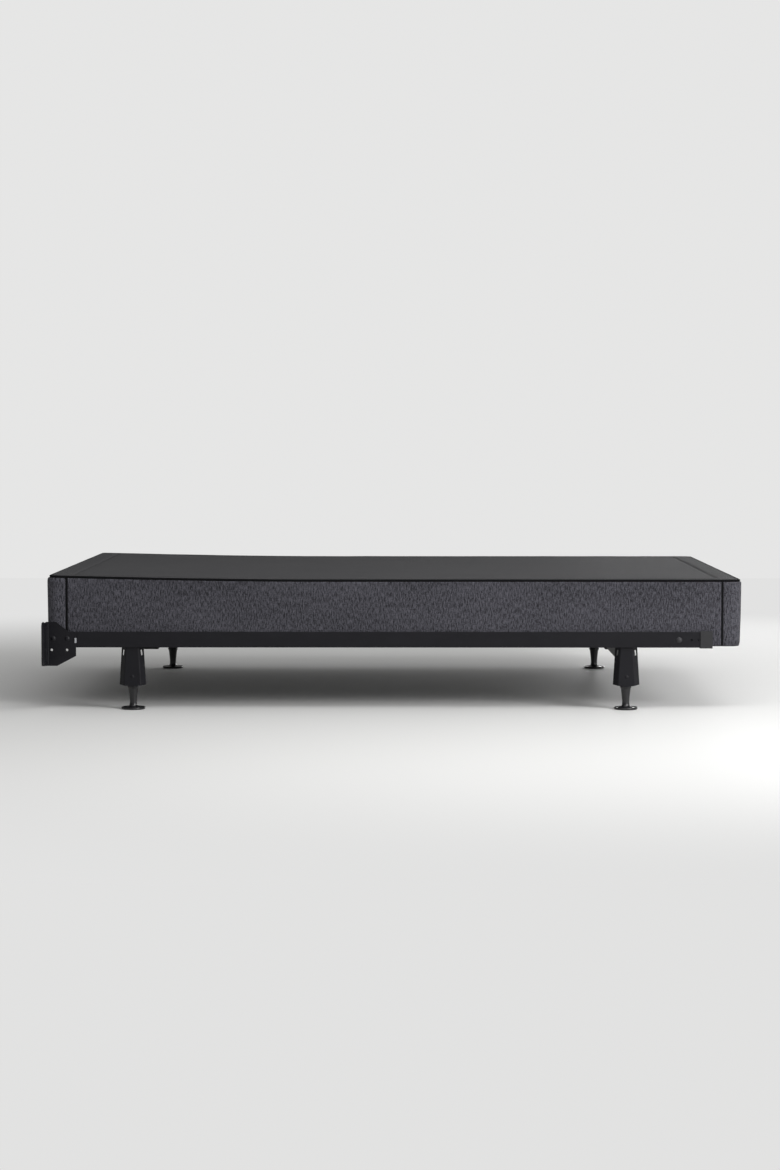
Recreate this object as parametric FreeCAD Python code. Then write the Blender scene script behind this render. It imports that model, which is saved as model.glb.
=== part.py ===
import FreeCAD, Part
import math
import os

# Adjustable-width steel bed frame that carries an upholstered box foundation.
# Millimetres. +Z is up, +X points to the foot end, the near side is at -Y.
# The origin is on the floor under the middle of the whole object.

V = FreeCAD.Vector

# ---------------------------------------------------------------- driving sizes
FOUNDATION_LENGTH = 1892.0
FOUNDATION_WIDTH = 1359.0
FOUNDATION_TOP = 358.0
BRACKET_PROUD = 2.0         # the headboard flange stands this far past the head end
RUN_GAP = 0.3               # gap between pieces that move past each other
PIN_GAP = 0.05              # radial play of a pin or rivet in its hole

RAIL_BOTTOM = 172.0
RAIL_STEEL = 3.0
RAIL_LIP = 43.0             # upright flange
RAIL_LEDGE = 38.0           # flat flange under the foundation
RAIL_SIDE_GAP = 2.5         # between the foundation and the upright flange
RAIL_FOOT_SETBACK = 79.0    # the rail's capped end, short of the foot end

BRACKET_STEEL = 4.0
BRACKET_PLATE_LENGTH = 81.0
BRACKET_REACH = 102.0       # depth of the headboard flange
BRACKET_BOTTOM = 122.0
BRACKET_TOP = 242.0

HEAD_LEG_INSET = 231.0
FOOT_LEG_INSET = 312.0
LEG_STEEL = 3.0
LEG_BOTTOM = 65.0
LEG_TOP_HALF = 30.0
LEG_BOTTOM_HALF = 36.5
LEG_FACE_SETBACK = 8.0      # leg face behind the rail's outer face
GLIDE_SETBACK = 37.0        # glide axis behind the rail's outer face

ARM_FLANGE = 38.0
ARM_PAST_CENTRE = 150.0     # each cross arm runs this far past the middle
LOOP_STEEL = 3.0
LOOP_LENGTH = 32.0

SEAM_INSET = 53.0           # width of the soft corner pieces
SEAM_GAP = 4.0              # groove between a side panel and a corner piece
SEAM_WELT_R = 1.7
CORNER_RADIUS = 28.0
COVER_DEPTH = 7.0
BOARD = 18.0

# ---------------------------------------------------------------- worked-out places
HALF_LENGTH = (FOUNDATION_LENGTH + BRACKET_PROUD) / 2
HEAD_X = -HALF_LENGTH + BRACKET_PROUD
FOOT_X = HALF_LENGTH
SIDE_Y = FOUNDATION_WIDTH / 2
RAIL_INNER_Y = -SIDE_Y - RAIL_SIDE_GAP
RAIL_OUTER_Y = RAIL_INNER_Y - RAIL_STEEL
LEDGE_Y = RAIL_OUTER_Y + RAIL_LEDGE
LEDGE_TOP = RAIL_BOTTOM + RAIL_STEEL
RAIL_TOP = RAIL_BOTTOM + RAIL_LIP
FOUNDATION_BOTTOM = LEDGE_TOP + RUN_GAP
HEAD_LEG_X = HEAD_X + HEAD_LEG_INSET
FOOT_LEG_X = FOOT_X - FOOT_LEG_INSET
LEG_XS = (HEAD_LEG_X, FOOT_LEG_X)
LEG_FACE_Y = RAIL_OUTER_Y + LEG_FACE_SETBACK
GLIDE_Y = RAIL_OUTER_Y + GLIDE_SETBACK


# ---------------------------------------------------------------- helpers
def block(x0, x1, y0, y1, z0, z1):
    return Part.makeBox(x1 - x0, y1 - y0, z1 - z0, V(x0, y0, z0))


def rod(start, direction, radius, length):
    return Part.makeCylinder(radius, length, start, direction)


def joined(*shapes):
    return shapes[0].multiFuse(list(shapes[1:])).removeSplitter()


def prism(points, direction):
    """Closed outline through the given points, pushed along a direction."""
    wire = Part.makePolygon(list(points) + [points[0]])
    return Part.Face(wire).extrude(direction)


def rounded(shape, radius, picks):
    """Fillet every straight edge for which picks(middle, direction) is true."""
    chosen = []
    for edge in shape.Edges:
        ends = edge.Vertexes[0].Point, edge.Vertexes[-1].Point
        run = ends[1] - ends[0]
        straight = run.Length > 0.01 and edge.Length - run.Length < 0.01
        if straight and picks((ends[0] + ends[1]) * 0.5, run.normalize()):
            chosen.append(edge)
    return shape.makeFillet(radius, chosen)


def turned(start, steps, centre):
    """Solid of revolution about the vertical through centre.

    start and the steps are (radius, z). A step of one point is a straight run to it, and a
    step of two points is an arc through the first to the second.
    """
    edges = []
    here = V(start[0], 0, start[1])
    for step in steps:
        points = [V(radius, 0, z) for radius, z in step]
        if len(points) == 1:
            edges.append(Part.LineSegment(here, points[0]).toShape())
        else:
            edges.append(Part.Arc(here, *points).toShape())
        here = points[-1]
    solid = Part.Face(Part.Wire(edges)).revolve(V(0, 0, 0), V(0, 0, 1), 360)
    return solid.translated(centre)


def dome(centre, direction, radius, height):
    """Low button head: a slice off a sphere, its flat side at centre."""
    ball_radius = (radius ** 2 + height ** 2) / (2 * height)
    axis = V(direction).normalize()
    middle = centre + axis * (height - ball_radius)
    rim = math.degrees(math.asin((ball_radius - height) / ball_radius))
    return Part.makeSphere(ball_radius, middle, axis, rim, 90, 360)


def slot(centre, axis, along, half_width, length):
    """Round-ended bar for cutting a slot, its middle at centre."""
    axis = V(axis).normalize()
    along = V(along).normalize()
    side = axis.cross(along)
    deep = 30.0
    reach = length / 2 - half_width
    start = centre - axis * (deep / 2)
    corners = [start + along * a + side * b for a, b in (
        (-reach, -half_width), (reach, -half_width), (reach, half_width), (-reach, half_width))]
    ends = [rod(start + along * s, axis, half_width, deep) for s in (-reach, reach)]
    return joined(prism(corners, axis * deep), *ends)


def at_back(shape):
    return shape.mirror(V(0, 0, 0), V(0, 1, 0))


def save(name, *solids):
    shape = solids[0] if len(solids) == 1 else Part.makeCompound(list(solids))
    shape.exportStep("parts/" + name + ".step")


def save_pair(name, *solids):
    """The same piece on the near half and, mirrored, on the far half."""
    save("front_" + name, *solids)
    save("back_" + name, *[at_back(solid) for solid in solids])


# ---------------------------------------------------------------- side rails
RAIL_HEAD_X = -HALF_LENGTH + BRACKET_STEEL + 1.0
CAP_WALL = 2.0
CAP_LENGTH = 34.0
RAIL_FOOT_X = FOOT_X - RAIL_FOOT_SETBACK - CAP_WALL
RIVET_Z = RAIL_BOTTOM + 24.5
RAIL_HOLE_Z = RAIL_BOTTOM + 21.0
RAIL_HOLES_X = (FOOT_X - 135.6, FOOT_X - 118.2)
RAIL_HOLE_R = 2.75
RAIL_STUD_X = FOOT_X - 170.0
BRACKET_RIVETS_X = (-HALF_LENGTH + 18.9, -HALF_LENGTH + 57.0)
RIVET_R = 4.0
ARM_RIVETS = ((10.0, 4.5), (-4.0, 3.0))     # offset from the leg's middle, shank radius
ARM_RIVET_Y = LEDGE_Y - 7.0


def side_rail():
    upright = block(RAIL_HEAD_X, RAIL_FOOT_X, RAIL_OUTER_Y, RAIL_INNER_Y, RAIL_BOTTOM, RAIL_TOP)
    ledge = block(RAIL_HEAD_X, RAIL_FOOT_X, RAIL_OUTER_Y, LEDGE_Y, RAIL_BOTTOM, LEDGE_TOP)
    rail = joined(upright, ledge)
    rail = rounded(rail, 1.4, lambda p, d: abs(d.x) > 0.9 and (
        abs(p.z - RAIL_TOP) < 0.1 or abs(p.y - LEDGE_Y) < 0.1
        or (abs(p.y - RAIL_OUTER_Y) < 0.1 and abs(p.z - RAIL_BOTTOM) < 0.1)))
    rail = rounded(rail, 2.0, lambda p, d: abs(d.x) > 0.9 and abs(p.y - RAIL_INNER_Y) < 0.1
                   and abs(p.z - LEDGE_TOP) < 0.1)
    across = V(0, 1, 0)
    start_y = RAIL_OUTER_Y - 5
    holes = [rod(V(x, start_y, RAIL_HOLE_Z), across, RAIL_HOLE_R, 12) for x in RAIL_HOLES_X]
    holes.append(rod(V(RAIL_STUD_X, start_y, RAIL_HOLE_Z), across, RIVET_R + PIN_GAP, 12))
    for x in BRACKET_RIVETS_X:
        holes.append(rod(V(x, start_y, RIVET_Z), across, RIVET_R + PIN_GAP, 12))
    for leg_x in LEG_XS:
        for offset, radius in ARM_RIVETS:
            start = V(leg_x + offset, ARM_RIVET_Y, RAIL_BOTTOM - 5)
            holes.append(rod(start, V(0, 0, 1), radius + PIN_GAP, 12))
    return rail.cut(Part.makeCompound(holes))


def rail_end_cap():
    """Moulded cap over the rail's foot end; the ledge's top stays bare."""
    x0 = RAIL_FOOT_X - CAP_LENGTH + CAP_WALL
    x1 = RAIL_FOOT_X + CAP_WALL
    outer = RAIL_OUTER_Y - CAP_WALL
    inner = RAIL_INNER_Y + 1.2
    shell = joined(
        block(x0, x1, outer, RAIL_OUTER_Y, RAIL_BOTTOM - CAP_WALL, RAIL_TOP + CAP_WALL),
        block(x0, x1, outer, inner, RAIL_TOP, RAIL_TOP + CAP_WALL),
        block(x0, x1, RAIL_INNER_Y, inner, LEDGE_TOP + 12, RAIL_TOP + CAP_WALL),
        block(x0, x1, outer, LEDGE_Y, RAIL_BOTTOM - CAP_WALL, RAIL_BOTTOM),
        block(RAIL_FOOT_X, x1, outer, inner, RAIL_BOTTOM - CAP_WALL, RAIL_TOP + CAP_WALL),
        block(RAIL_FOOT_X, x1, outer, LEDGE_Y, RAIL_BOTTOM - CAP_WALL, LEDGE_TOP))
    return rounded(shell, 1.5, lambda p, d: abs(p.y - outer) < 0.1)


def rail_stud():
    """Button-head rivet near the foot end, flush inside."""
    shank = rod(V(RAIL_STUD_X, RAIL_OUTER_Y, RAIL_HOLE_Z), V(0, 1, 0), RIVET_R, RAIL_STEEL)
    head = dome(V(RAIL_STUD_X, RAIL_OUTER_Y, RAIL_HOLE_Z), V(0, -1, 0), 8.0, 4.0)
    return joined(shank, head)


# ---------------------------------------------------------------- headboard brackets
PLATE_OUTER_Y = RAIL_OUTER_Y - BRACKET_STEEL
FLANGE_EDGE_Y = PLATE_OUTER_Y - BRACKET_REACH
PLATE_HOLES_X = (-HALF_LENGTH + 14.9, -HALF_LENGTH + 56.7)
PLATE_HOLE_Z = RAIL_BOTTOM - 6.4
PLATE_HOLE_R = 3.4
SLOT_Y = PLATE_OUTER_Y - BRACKET_REACH / 2
SLOT_ZS = (RAIL_BOTTOM - 19.0, RAIL_BOTTOM + 41.0)
SLOT_HALF_WIDTH = 4.5
SLOT_LENGTH = 34.0
CLIP_STEEL = 1.5


def bracket_plate():
    x0 = -HALF_LENGTH
    x1 = x0 + BRACKET_PLATE_LENGTH
    outline = [(x0, BRACKET_BOTTOM), (x0 + 30, BRACKET_BOTTOM), (x1, BRACKET_BOTTOM + 27),
               (x1, RAIL_TOP), (x0 + 61, RAIL_TOP), (x0 + 27, BRACKET_TOP), (x0, BRACKET_TOP)]
    return prism([V(x, PLATE_OUTER_Y, z) for x, z in outline], V(0, BRACKET_STEEL, 0))


def bracket_flange():
    """Flange that a headboard is bolted to, with two pressed stiffening ribs."""
    y0 = FLANGE_EDGE_Y
    outline = [(PLATE_OUTER_Y, BRACKET_BOTTOM), (y0 + 9, BRACKET_BOTTOM + 7),
               (y0, BRACKET_BOTTOM + 13), (y0, BRACKET_TOP - 4), (y0 + 8, BRACKET_TOP + 3),
               (y0 + 24, BRACKET_TOP + 5), (y0 + 50, BRACKET_TOP), (PLATE_OUTER_Y, BRACKET_TOP)]
    plate = prism([V(-HALF_LENGTH, y, z) for y, z in outline], V(BRACKET_STEEL, 0, 0))
    plate = rounded(plate, 1.2, lambda p, d: abs(p.y - y0) < 0.1 and abs(d.z) > 0.9)
    inside = block(-HALF_LENGTH + 1, -HALF_LENGTH + 20, y0, PLATE_OUTER_Y, BRACKET_BOTTOM,
                   BRACKET_TOP)
    ribs = []
    for y in (PLATE_OUTER_Y - 20, PLATE_OUTER_Y - 81):
        start = V(-HALF_LENGTH + 1.5, y, BRACKET_BOTTOM + 14)
        rib = rod(start, V(0, 0, 1), 4.0, BRACKET_TOP - BRACKET_BOTTOM - 24)
        ribs.append(rib.common(inside))
    return joined(plate, *ribs)


def headboard_bracket():
    bend_face = -HALF_LENGTH + BRACKET_STEEL
    bend = block(bend_face, bend_face + 3, PLATE_OUTER_Y - 3, PLATE_OUTER_Y,
                 BRACKET_BOTTOM + 4, BRACKET_TOP - 4)
    hollow = rod(V(bend_face + 3, PLATE_OUTER_Y - 3, BRACKET_BOTTOM), V(0, 0, 1), 3.0, 130)
    bracket = joined(bracket_plate(), bracket_flange(), bend.cut(hollow))
    bracket = rounded(bracket, 5.0, lambda p, d: abs(d.z) > 0.9
                      and abs(p.x + HALF_LENGTH) < 0.1 and abs(p.y - RAIL_OUTER_Y) < 0.1)
    across = V(0, 1, 0)
    start_y = PLATE_OUTER_Y - 5
    holes = [rod(V(x, start_y, PLATE_HOLE_Z), across, PLATE_HOLE_R, 12) for x in PLATE_HOLES_X]
    for x in BRACKET_RIVETS_X:
        holes.append(rod(V(x, start_y, RIVET_Z), across, RIVET_R + PIN_GAP, 12))
    for z in SLOT_ZS:
        holes.append(slot(V(-HALF_LENGTH, SLOT_Y, z), V(1, 0, 0), V(0, 0, 1),
                          SLOT_HALF_WIDTH, SLOT_LENGTH))
    return bracket.cut(Part.makeCompound(holes))


def bracket_rivet(x):
    length = BRACKET_STEEL + RAIL_STEEL
    shank = rod(V(x, PLATE_OUTER_Y, RIVET_Z), V(0, 1, 0), RIVET_R, length)
    return joined(shank, dome(V(x, PLATE_OUTER_Y, RIVET_Z), V(0, -1, 0), 7.0, 3.0))


def edge_clip():
    """Zinc-plated clip hooked over the plate's free edge."""
    edge = -HALF_LENGTH + BRACKET_PLATE_LENGTH
    bottom = RAIL_BOTTOM + 12.6
    top = RAIL_BOTTOM + 26.2
    face = PLATE_OUTER_Y - CLIP_STEEL
    clip = joined(
        block(edge - 4, edge + CLIP_STEEL, face, PLATE_OUTER_Y, bottom, top),
        block(edge, edge + CLIP_STEEL, face, RAIL_OUTER_Y, bottom, top))
    return rounded(clip, 1.0, lambda p, d: abs(p.y - face) < 0.1 and abs(d.x) < 0.1)


# ---------------------------------------------------------------- legs
WING_SETBACK = 18.0
SHELF_Z = 70.0
STRAP_Z = 112.0
SOCKET_BOTTOM = 66.0
SOCKET_TOP = 122.0
SOCKET_OUTER_R = 8.5
STEM_R = 5.5
GLIDE_DISC_R = 32.75
GLIDE_EDGE_R = 2.4
GLIDE_NECK_R = 9.9
GLIDE_TOP_R = 15.8


def leg_section(half_width, z):
    """Bent-plate outline at one height: flat face with two wings swept back."""
    face_half = half_width - 13.0
    angle = math.atan2(WING_SETBACK, half_width - face_half)
    inset = LEG_STEEL * math.tan(angle / 2)
    tip = (half_width, LEG_FACE_Y + WING_SETBACK)
    inner_tip = (tip[0] - LEG_STEEL * math.sin(angle), tip[1] + LEG_STEEL * math.cos(angle))
    right = [(face_half, LEG_FACE_Y), tip, inner_tip,
             (face_half - inset, LEG_FACE_Y + LEG_STEEL)]
    left = [(-x, y) for x, y in reversed(right)]
    points = [V(x, y, z) for x, y in right + left]
    return Part.makePolygon(points + [points[0]])


def leg():
    """Pressed leg, centred on x = 0, for the near side."""
    shell = Part.makeLoft([leg_section(LEG_BOTTOM_HALF, LEG_BOTTOM),
                           leg_section(LEG_TOP_HALF, RAIL_BOTTOM)], True, True)
    shell = rounded(shell, 4.0, lambda p, d: abs(d.z) > 0.9 and abs(p.y - LEG_FACE_Y) < 0.1)
    inner_y = LEG_FACE_Y + 1.0
    roof_back = LEDGE_Y + 5.0
    roof = block(-27, 27, inner_y, roof_back, RAIL_BOTTOM - LEG_STEEL, RAIL_BOTTOM)
    roof = rounded(roof, 8.0, lambda p, d: abs(d.z) > 0.9 and abs(p.y - roof_back) < 0.1)
    room = Part.makeLoft([leg_hollow(LEG_BOTTOM_HALF, LEG_BOTTOM - 1),
                          leg_hollow(LEG_TOP_HALF, RAIL_BOTTOM + 1)], True, True)
    shelf = block(-33, 33, inner_y, GLIDE_Y + 16, SHELF_Z, SHELF_Z + LEG_STEEL)
    shelf = rounded(shelf, 14.0, lambda p, d: abs(d.z) > 0.9 and p.y > GLIDE_Y)
    strap = block(-13, 13, inner_y, GLIDE_Y + 12, STRAP_Z, STRAP_Z + LEG_STEEL)
    strap = rounded(strap, 9.0, lambda p, d: abs(d.z) > 0.9 and p.y > GLIDE_Y)
    body = joined(shell, roof.common(room), shelf.common(room), strap)
    bore = rod(V(0, GLIDE_Y, SHELF_Z - 5), V(0, 0, 1), SOCKET_OUTER_R + PIN_GAP, 70)
    cuts = [bore.common(block(-20, 20, LEG_FACE_Y + 5, 0, SHELF_Z - 5, STRAP_Z + 5))]
    for side in (-1, 1):
        cuts.append(slot(V(side * 24.5, LEG_FACE_Y + 10, RAIL_BOTTOM - 15), V(0, 1, 0),
                         V(side * 0.12, 0, -1), 1.7, 16))
        corner = [(side * 9, LEG_BOTTOM - 1), (side * 40, LEG_BOTTOM - 1),
                  (side * 40, LEG_BOTTOM + 4.5), (side * 9, LEG_BOTTOM)]
        cuts.append(prism([V(x, LEG_FACE_Y - 5, z) for x, z in corner], V(0, 40, 0)))
    for offset, radius in ARM_RIVETS:
        cuts.append(rod(V(offset, ARM_RIVET_Y, RAIL_BOTTOM - 6), V(0, 0, 1),
                        radius + PIN_GAP, 10))
    dimple = dome(V(0, LEG_FACE_Y, LEG_BOTTOM + 26), V(0, -1, 0), 5.5, 1.6)
    return joined(body.cut(Part.makeCompound(cuts)), dimple)


def leg_hollow(half_width, z):
    """Room behind the leg's face and between its wings, open to the rear."""
    face_half = half_width - 13.0
    tip_y = LEG_FACE_Y + WING_SETBACK
    points = [V(x, y, z) for x, y in (
        (-face_half + 1, LEG_FACE_Y + 1), (face_half - 1, LEG_FACE_Y + 1),
        (half_width - 1, tip_y), (half_width - 1, tip_y + 60),
        (-half_width + 1, tip_y + 60), (-half_width + 1, tip_y))]
    return Part.makePolygon(points + [points[0]])


def glide_socket():
    """Steel tube that holds a glide's stem."""
    height = SOCKET_TOP - SOCKET_BOTTOM
    start = V(0, GLIDE_Y, SOCKET_BOTTOM)
    tube = rod(start, V(0, 0, 1), SOCKET_OUTER_R, height)
    return tube.cut(rod(start, V(0, 0, 1), STEM_R + PIN_GAP, height))


def arm_rivets(bottom):
    """Rivets that hold a cross arm and a leg under the rail, flush on top."""
    rivets = []
    for offset, radius in ARM_RIVETS:
        foot = V(offset, ARM_RIVET_Y, bottom)
        shank = rod(foot, V(0, 0, 1), radius, LEDGE_TOP - bottom)
        rivets.append(joined(shank, dome(foot, V(0, 0, -1), radius * 1.7, radius * 0.6)))
    return rivets


# ---------------------------------------------------------------- glides
def glide():
    """Moulded tapering glide on a round, domed floor disc."""
    top = SOCKET_BOTTOM - RUN_GAP
    flat_r = GLIDE_DISC_R - GLIDE_EDGE_R
    bow = GLIDE_EDGE_R * math.sqrt(0.5)
    body = turned((0, 0), [
        [(flat_r, 0)],
        [(flat_r + bow, GLIDE_EDGE_R - bow), (GLIDE_DISC_R, GLIDE_EDGE_R)],
        [(32.3, 3.6), (30.8, 4.1)],
        [(29.6, 4.1), (28.6, 3.7)],
        [(20.5, 6.3), (12.0, 7.6)],
        [(10.3, 9.2), (GLIDE_NECK_R, 12.0)],
        [(GLIDE_NECK_R, 18.0)],
        [(12.0, 35.0), (14.9, 51.0)],
        [(GLIDE_TOP_R, 60.5)],
        [(15.4, 64.0), (13.6, top)],
        [(0, top)],
        [(0, 0)]], V(0, GLIDE_Y, 0))
    return body.cut(rod(V(0, GLIDE_Y, 20), V(0, 0, 1), STEM_R + PIN_GAP, 60))


def glide_stem():
    """Steel stem, moulded into the glide below and turning in its socket above."""
    return turned((0, 20), [[(STEM_R, 20)], [(STEM_R, 118)], [(STEM_R - 1.5, 120)], [(0, 120)],
                            [(0, 20)]], V(0, GLIDE_Y, 0))


# ---------------------------------------------------------------- cross arms
ARM_START_Y = RAIL_OUTER_Y + 22.0
ARM_TOP = RAIL_BOTTOM - LEG_STEEL
NEST = RAIL_STEEL + RUN_GAP         # the far arm nests this much inside the near arm
ARM_OFFSET_X = -ARM_FLANGE / 2
LOOP_INNER_RIGHT = ARM_FLANGE + NEST
SCREW_Z = ARM_TOP - 23.0
SCREW_R = 4.0
NUT_LENGTH = 6.5


def cross_arm(shift, holes):
    """Angle-iron arm for the near side, flat flange on top, shifted to nest."""
    x0 = ARM_OFFSET_X + shift
    top = ARM_TOP - shift
    end_y = ARM_PAST_CENTRE
    flat = block(x0, x0 + ARM_FLANGE, ARM_START_Y, end_y, top - RAIL_STEEL, top)
    upright = block(x0, x0 + RAIL_STEEL, ARM_START_Y, end_y, top - ARM_FLANGE, top)
    arm = joined(flat, upright)
    arm = rounded(arm, 1.2, lambda p, d: abs(d.y) > 0.9 and abs(p.x - x0) < 0.1
                  and abs(p.z - top) < 0.1)
    arm = rounded(arm, 6.0, lambda p, d: abs(d.z) > 0.9 and abs(p.x - x0 - ARM_FLANGE) < 0.1
                  and abs(p.y - ARM_START_Y) > 1)
    cuts = []
    for offset, radius in holes:
        cuts.append(rod(V(offset, ARM_RIVET_Y, top - 10), V(0, 0, 1), radius + PIN_GAP, 15))
    return arm.cut(Part.makeCompound(cuts))


def clamp_housing():
    """Folded loop at the near arm's end; its nut carries the clamp screw."""
    x0 = ARM_OFFSET_X
    x1 = x0 + LOOP_INNER_RIGHT + 0.7
    bottom = ARM_TOP - ARM_FLANGE - NEST - RUN_GAP
    y0 = ARM_PAST_CENTRE - LOOP_LENGTH
    y1 = ARM_PAST_CENTRE
    shell = block(x0 - LOOP_STEEL, x1 + LOOP_STEEL, y0, y1, bottom - LOOP_STEEL,
                  ARM_TOP + LOOP_STEEL)
    shell = rounded(shell, 2.5, lambda p, d: abs(d.y) > 0.9)
    shell = shell.cut(block(x0, x1, y0 - 1, y1 + 1, bottom, ARM_TOP))
    middle_y = (y0 + y1) / 2
    nut_x = x1 + LOOP_STEEL
    corners = []
    for step in range(6):
        turn = math.radians(60 * step + 30)
        corners.append(V(nut_x, middle_y + 7.5 * math.cos(turn), SCREW_Z + 7.5 * math.sin(turn)))
    nut = prism(corners, V(NUT_LENGTH, 0, 0))
    bore = rod(V(x1 - 1, middle_y, SCREW_Z), V(1, 0, 0), SCREW_R + PIN_GAP, 20)
    return joined(shell, nut).cut(bore)


def guide_loop():
    """Loop fixed to the far arm's end that keeps it on the near arm."""
    x0 = ARM_OFFSET_X - RUN_GAP
    x1 = ARM_OFFSET_X + LOOP_INNER_RIGHT
    bottom = ARM_TOP - ARM_FLANGE - NEST
    top = ARM_TOP + RUN_GAP
    y0 = -ARM_PAST_CENTRE
    y1 = y0 + LOOP_LENGTH
    shell = block(x0 - LOOP_STEEL, x1 + LOOP_STEEL, y0, y1, bottom - LOOP_STEEL,
                  top + LOOP_STEEL - 0.6)
    shell = rounded(shell, 2.0, lambda p, d: abs(d.y) > 0.9)
    return shell.cut(block(x0, x1, y0 - 1, y1 + 1, bottom, top))


def clamp_screw():
    """Threaded clamp screw, its tip just short of the far arm."""
    start_x = ARM_OFFSET_X + NEST + RAIL_STEEL + RUN_GAP
    end_x = ARM_OFFSET_X + LOOP_INNER_RIGHT + 0.7 + LOOP_STEEL + NUT_LENGTH + 12
    middle_y = ARM_PAST_CENTRE - LOOP_LENGTH / 2
    return rod(V(start_x, middle_y, SCREW_Z), V(1, 0, 0), SCREW_R, end_x - start_x)


def clamp_knob():
    """Moulded T-shaped grip on the clamp screw."""
    x0 = ARM_OFFSET_X + LOOP_INNER_RIGHT + 0.7 + LOOP_STEEL + NUT_LENGTH + 1.5
    middle_y = ARM_PAST_CENTRE - LOOP_LENGTH / 2
    hub = rod(V(x0, middle_y, SCREW_Z), V(1, 0, 0), 8.5, 14)
    bar = block(x0 + 9, x0 + 21, middle_y - 21, middle_y + 21, SCREW_Z - 5.5, SCREW_Z + 5.5)
    bar = rounded(bar, 4.0, lambda p, d: abs(p.y - middle_y) > 20)
    bore = rod(V(x0 - 1, middle_y, SCREW_Z), V(1, 0, 0), SCREW_R + PIN_GAP, 11.5)
    return joined(hub, bar).cut(bore)


def arm_spacer():
    """Plate that fills the nesting offset between a far leg and its arm."""
    plate = block(-14, 20, ARM_START_Y + 1, LEDGE_Y + 4, ARM_TOP - NEST, ARM_TOP)
    holes = []
    for offset, radius in ARM_RIVETS:
        holes.append(rod(V(offset, ARM_RIVET_Y, ARM_TOP - 6), V(0, 0, 1), radius + PIN_GAP, 8))
    return plate.cut(Part.makeCompound(holes))


# ---------------------------------------------------------------- foundation
DUST_COVER = 1.0
WOOD_BOTTOM = FOUNDATION_BOTTOM + 1.2
SLAT_THICK = 16.0
DECK_BOARD = 3.0
TOP_PAD = 5.0
TOP_CLOTH = 1.5
DECK_TOP = FOUNDATION_TOP - TOP_CLOTH - TOP_PAD
SLAT_TOP = DECK_TOP - DECK_BOARD
WOOD_TOP = SLAT_TOP - SLAT_THICK
WELT_R = 3.2
WELT_Z = FOUNDATION_TOP - WELT_R - 0.3
COVER_BOTTOM = FOUNDATION_BOTTOM
COVER_TOP = WELT_Z - WELT_R - 0.2
SLAT_COUNT = 9
SLAT_WIDTH = 70.0


def rounded_slab(inset, z0, z1):
    """Slab of the foundation's rounded plan, pulled in by inset."""
    slab = block(HEAD_X + inset, FOOT_X - inset, -SIDE_Y + inset, SIDE_Y - inset, z0, z1)
    return rounded(slab, CORNER_RADIUS - inset, lambda p, d: abs(d.z) > 0.9)


def cover_ring():
    """Padded cover all round, before it is parted at the seams."""
    outer = rounded_slab(0, COVER_BOTTOM, COVER_TOP)
    return outer.cut(rounded_slab(COVER_DEPTH, COVER_BOTTOM - 1, COVER_TOP + 1))


def cover_parts():
    """Side panels between the seams and the four corner pieces."""
    ring = cover_ring()
    gap = SEAM_GAP / 2
    x0 = HEAD_X + SEAM_INSET
    x1 = FOOT_X - SEAM_INSET
    y1 = SIDE_Y - SEAM_INSET
    z0 = COVER_BOTTOM - 1
    z1 = COVER_TOP + 1
    far = 2000.0
    parts = {
        "front_side_cover": ring.common(block(x0 + gap, x1 - gap, -far, 0, z0, z1)),
        "back_side_cover": ring.common(block(x0 + gap, x1 - gap, 0, far, z0, z1)),
        "head_end_cover": ring.common(block(-far, 0, -y1 + gap, y1 - gap, z0, z1)),
        "foot_end_cover": ring.common(block(0, far, -y1 + gap, y1 - gap, z0, z1)),
    }
    for side, y_range in (("front", (-far, -y1 - gap)), ("back", (y1 + gap, far))):
        for end, x_range in (("head", (-far, x0 - gap)), ("foot", (x1 + gap, far))):
            piece = ring.common(block(*x_range, *y_range, z0, z1))
            parts[side + "_" + end + "_corner_piece"] = piece
    return parts


def top_welt():
    """Black piping round the top edge."""
    inset = WELT_R + 0.5
    path = rounded_slab(inset, WELT_Z, WELT_Z + 1).Faces
    base = [face for face in path if abs(face.CenterOfMass.z - WELT_Z) < 0.01][0].OuterWire
    section = Part.makeCircle(WELT_R, V(0, -SIDE_Y + inset, WELT_Z), V(1, 0, 0))
    return base.makePipeShell([Part.Wire(section)], True, False)


def seam_welts():
    """Black piping down the groove beside every corner piece."""
    depth = SEAM_WELT_R + 0.6
    places = []
    for y in (-SIDE_Y + depth, SIDE_Y - depth):
        places += [(HEAD_X + SEAM_INSET, y), (FOOT_X - SEAM_INSET, y)]
    for x in (HEAD_X + depth, FOOT_X - depth):
        places += [(x, -SIDE_Y + SEAM_INSET), (x, SIDE_Y - SEAM_INSET)]
    bottom = COVER_BOTTOM + 1.0
    return [rod(V(x, y, bottom), V(0, 0, 1), SEAM_WELT_R, COVER_TOP - bottom) for x, y in places]


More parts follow.
